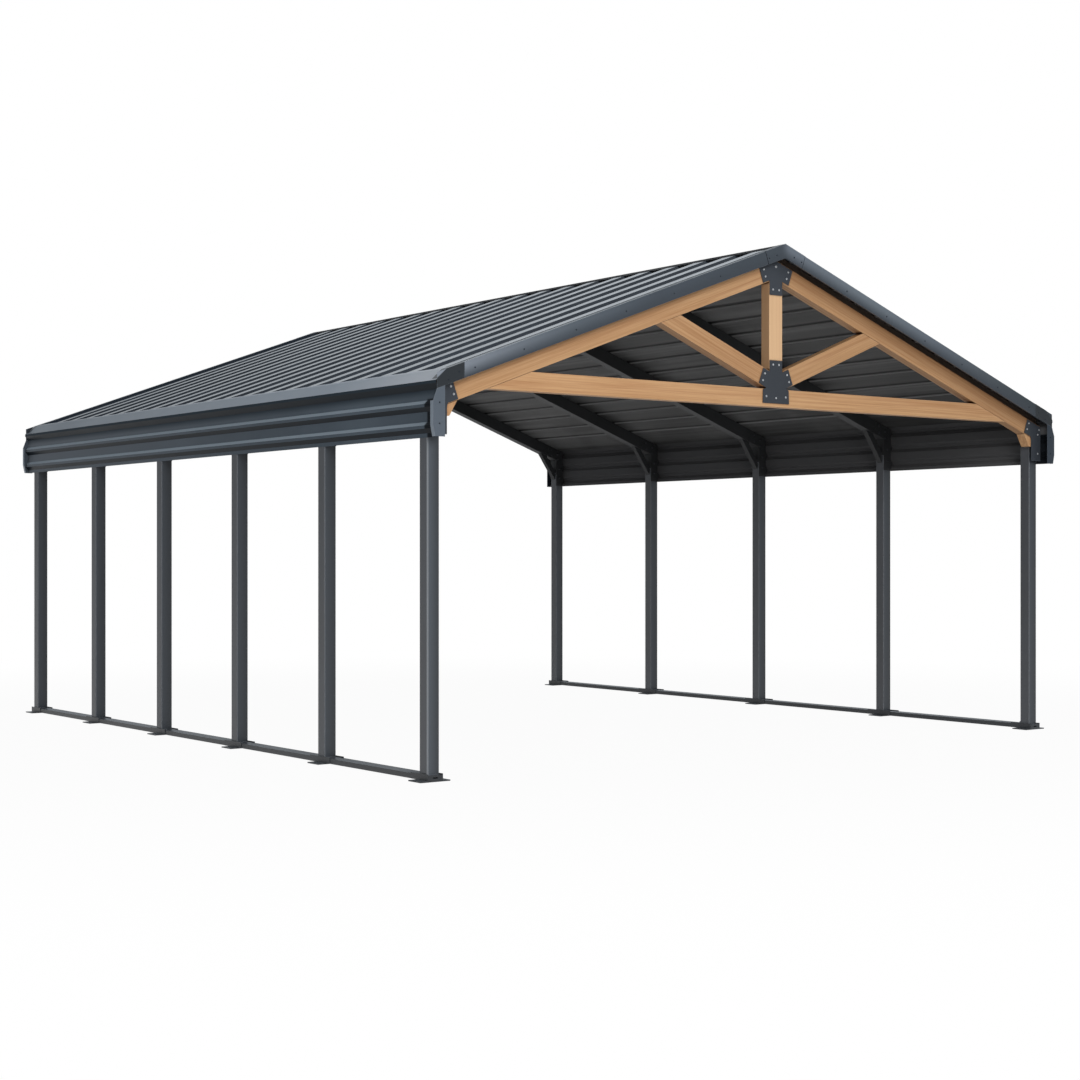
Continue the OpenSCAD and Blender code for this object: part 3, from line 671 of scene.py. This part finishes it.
# Roof screws in rows across each slope, and the lapped edges of the sheets over every third rib.
ROOF_SCREW_R = 0.0046
ROOF_SCREW_U = [0.26, 1.05, 1.84, 2.63, 3.00]
ROOF_SCREW_OFF = 0.022
SCREW_EDGE = 0.075
RIBS_PER_SHEET = 3
LAP_U = (0.125, 3.04)
LAP_T = 0.0009
LAP = [(-RIB_BASE / 2 - 0.024, 0), (-RIB_BASE / 2 - 0.001, 0), (-RIB_TOP / 2 - 0.0006, RIB_H),
       (RIB_TOP / 2 + 0.0006, RIB_H), (RIB_TOP / 2 + 0.010, RIB_H * 0.6)]
lap_ring = [(y, h + LAP_T) for y, h in LAP] + LAP[::-1]
rib_middles = [-SHEET_Y + RIB_PITCH * (i + 0.5) for i in range(RIB_COUNT)]
for label, side in (("left", -1), ("right", 1)):
    up = (side * math.sin(PITCH), 0, math.cos(PITCH))
    mesh = bmesh.new()
    for u in ROOF_SCREW_U:
        x, z = on_slope(u, PAN_N)
        for middle in rib_middles:
            y = middle + RIB_BASE / 2 + ROOF_SCREW_OFF
            if abs(y) < EDGE_Y - SCREW_EDGE:
                hex_screw(mesh, (side * x, y, z), up, ROOF_SCREW_R, spin=random.random())
    place(mesh, label + "_roof_screws", slate_screw, "roof_sheet")

    mesh = bmesh.new()
    for middle in rib_middles[RIBS_PER_SHEET::RIBS_PER_SHEET]:
        ends = []
        for u in LAP_U:
            spots = [(on_slope(u, PAN_N - h), middle + y) for y, h in lap_ring]
            ends.append([(side * x, y, z) for (x, z), y in spots])
        bar(mesh, *ends)
    bmesh.ops.recalc_face_normals(mesh, faces=mesh.faces)
    place(mesh, label + "_sheet_laps", roof_coat, "roof_sheet")

# Camera at the photograph's place, level. The focal length and the horizon are in the photograph's pixels.
PHOTO_W = 1080
FOCAL = 1873.57
HORIZON = 552.86
SENSOR = 36
camera = bpy.data.objects.new("camera", bpy.data.cameras.new("camera"))
bpy.context.scene.collection.objects.link(camera)
camera.location = (-9.353, -12.939, 1.425)
camera.rotation_euler = (math.radians(90), 0, math.radians(-36.774))
camera.data.sensor_width = SENSOR
camera.data.lens = FOCAL / PHOTO_W * SENSOR
camera.data.shift_y = (HORIZON - PHOTO_W / 2) / PHOTO_W
camera.data.clip_start = 0.1
camera.data.clip_end = 400
bpy.context.scene.camera = camera

# Key lamp, in front and a little to the left, that no coat mirrors.
KEY_SPOT = Vector((-5.5, -16, 5.5))
KEY_AIM = Vector((0, -1, 1.8))
light = bpy.data.lights.new("key", "AREA")
light.shape = "DISK"
light.size = 6
light.energy = 1230
lamp = bpy.data.objects.new("key", light)
bpy.context.scene.collection.objects.link(lamp)
lamp.location = KEY_SPOT
lamp.rotation_euler = (KEY_AIM - KEY_SPOT).to_track_quat("-Z", "Y").to_euler()
lamp.visible_glossy = False


class Studio(Tree):
    """The node tree of the world or the floor."""

    def smooth(self, value, low, high, to_low, to_high):
        return self.spread(value, low, high, to_low, to_high, "SMOOTHSTEP")

    def rays(self, *names):
        """1 for a ray of any of the named kinds."""
        path = self.node("ShaderNodeLightPath")
        made = path[names[0]]
        for name in names[1:]:
            made = self.maths("MAXIMUM", made, path[name])
        return made

    def glow(self, kind, colour, strength):
        return self.node(kind, {"Color": (*colour, 1), "Strength": strength})[0]

    def blend(self, share, a, b):
        return self.node("ShaderNodeMixShader", {0: share, 1: a, 2: b})[0]


# Studio: white for the camera, a room that is dim overhead for the light, and a drape for the gloss.
WHITE = (1, 1, 1)
world = bpy.data.worlds.new("studio")
bpy.context.scene.world = world
t = Studio(world)
x, y, z = t.split(t.node("ShaderNodeTexCoord")["Generated"])
overhead = t.smooth(z, 0.05, 0.85, 0.80, 0.26)
right_side = t.smooth(x, 0.60, 0.97, 1.0, 0.5)
left_side = t.smooth(x, -0.9, -0.2, 1.25, 1.0)
room = t.glow("ShaderNodeBackground", (0.97, 0.985, 1.0), t.times(overhead, right_side, left_side))
drape = t.glow("ShaderNodeBackground", (0.88, 0.945, 1.0), t.smooth(z, 0.14, 0.36, 0.36, 1.0))
white = t.glow("ShaderNodeBackground", WHITE, 1.0)
mirrored = t.times(t.rays("Is Glossy Ray", "Is Transmission Ray"), t.smooth(z, 0.60, 0.88, 1.0, 0.0))
unseen = t.blend(mirrored, room, drape)
t.node("ShaderNodeOutputWorld", {"Surface": t.blend(t.rays("Is Camera Ray"), unseen, white)})

# Pale floor that takes the shadow near the carport and runs out to white.
FLOOR_HALF = 90
FLOOR_DROP = 0.0006
mesh = bmesh.new()
bmesh.ops.create_grid(mesh, x_segments=8, y_segments=8, size=FLOOR_HALF)
data = bpy.data.meshes.new("floor")
mesh.to_mesh(data)
mesh.free()
floor = bpy.data.objects.new("floor", data)
bpy.context.scene.collection.objects.link(floor)
floor.location.z = -FLOOR_DROP
pale = bpy.data.materials.new("pale_floor")
t = Studio(pale)
spot = t.node("ShaderNodeTexCoord")["Object"]
away = t.node("ShaderNodeVectorMath", {0: spot}, operation="LENGTH")["Value"]
seen = t.rays("Is Camera Ray", "Is Glossy Ray", "Is Transmission Ray")
share = t.times(t.smooth(away, 4.0, 11.0, 0.955, 1.0), seen)
matt = t.node("ShaderNodeBsdfDiffuse", {"Color": (0.76, 0.76, 0.76, 1)})[0]
white = t.glow("ShaderNodeEmission", WHITE, 1.0)
t.node("ShaderNodeOutputMaterial", {"Surface": t.blend(share, matt, white)})
data.materials.append(pale)

bpy.context.scene.view_settings.view_transform = "Standard"
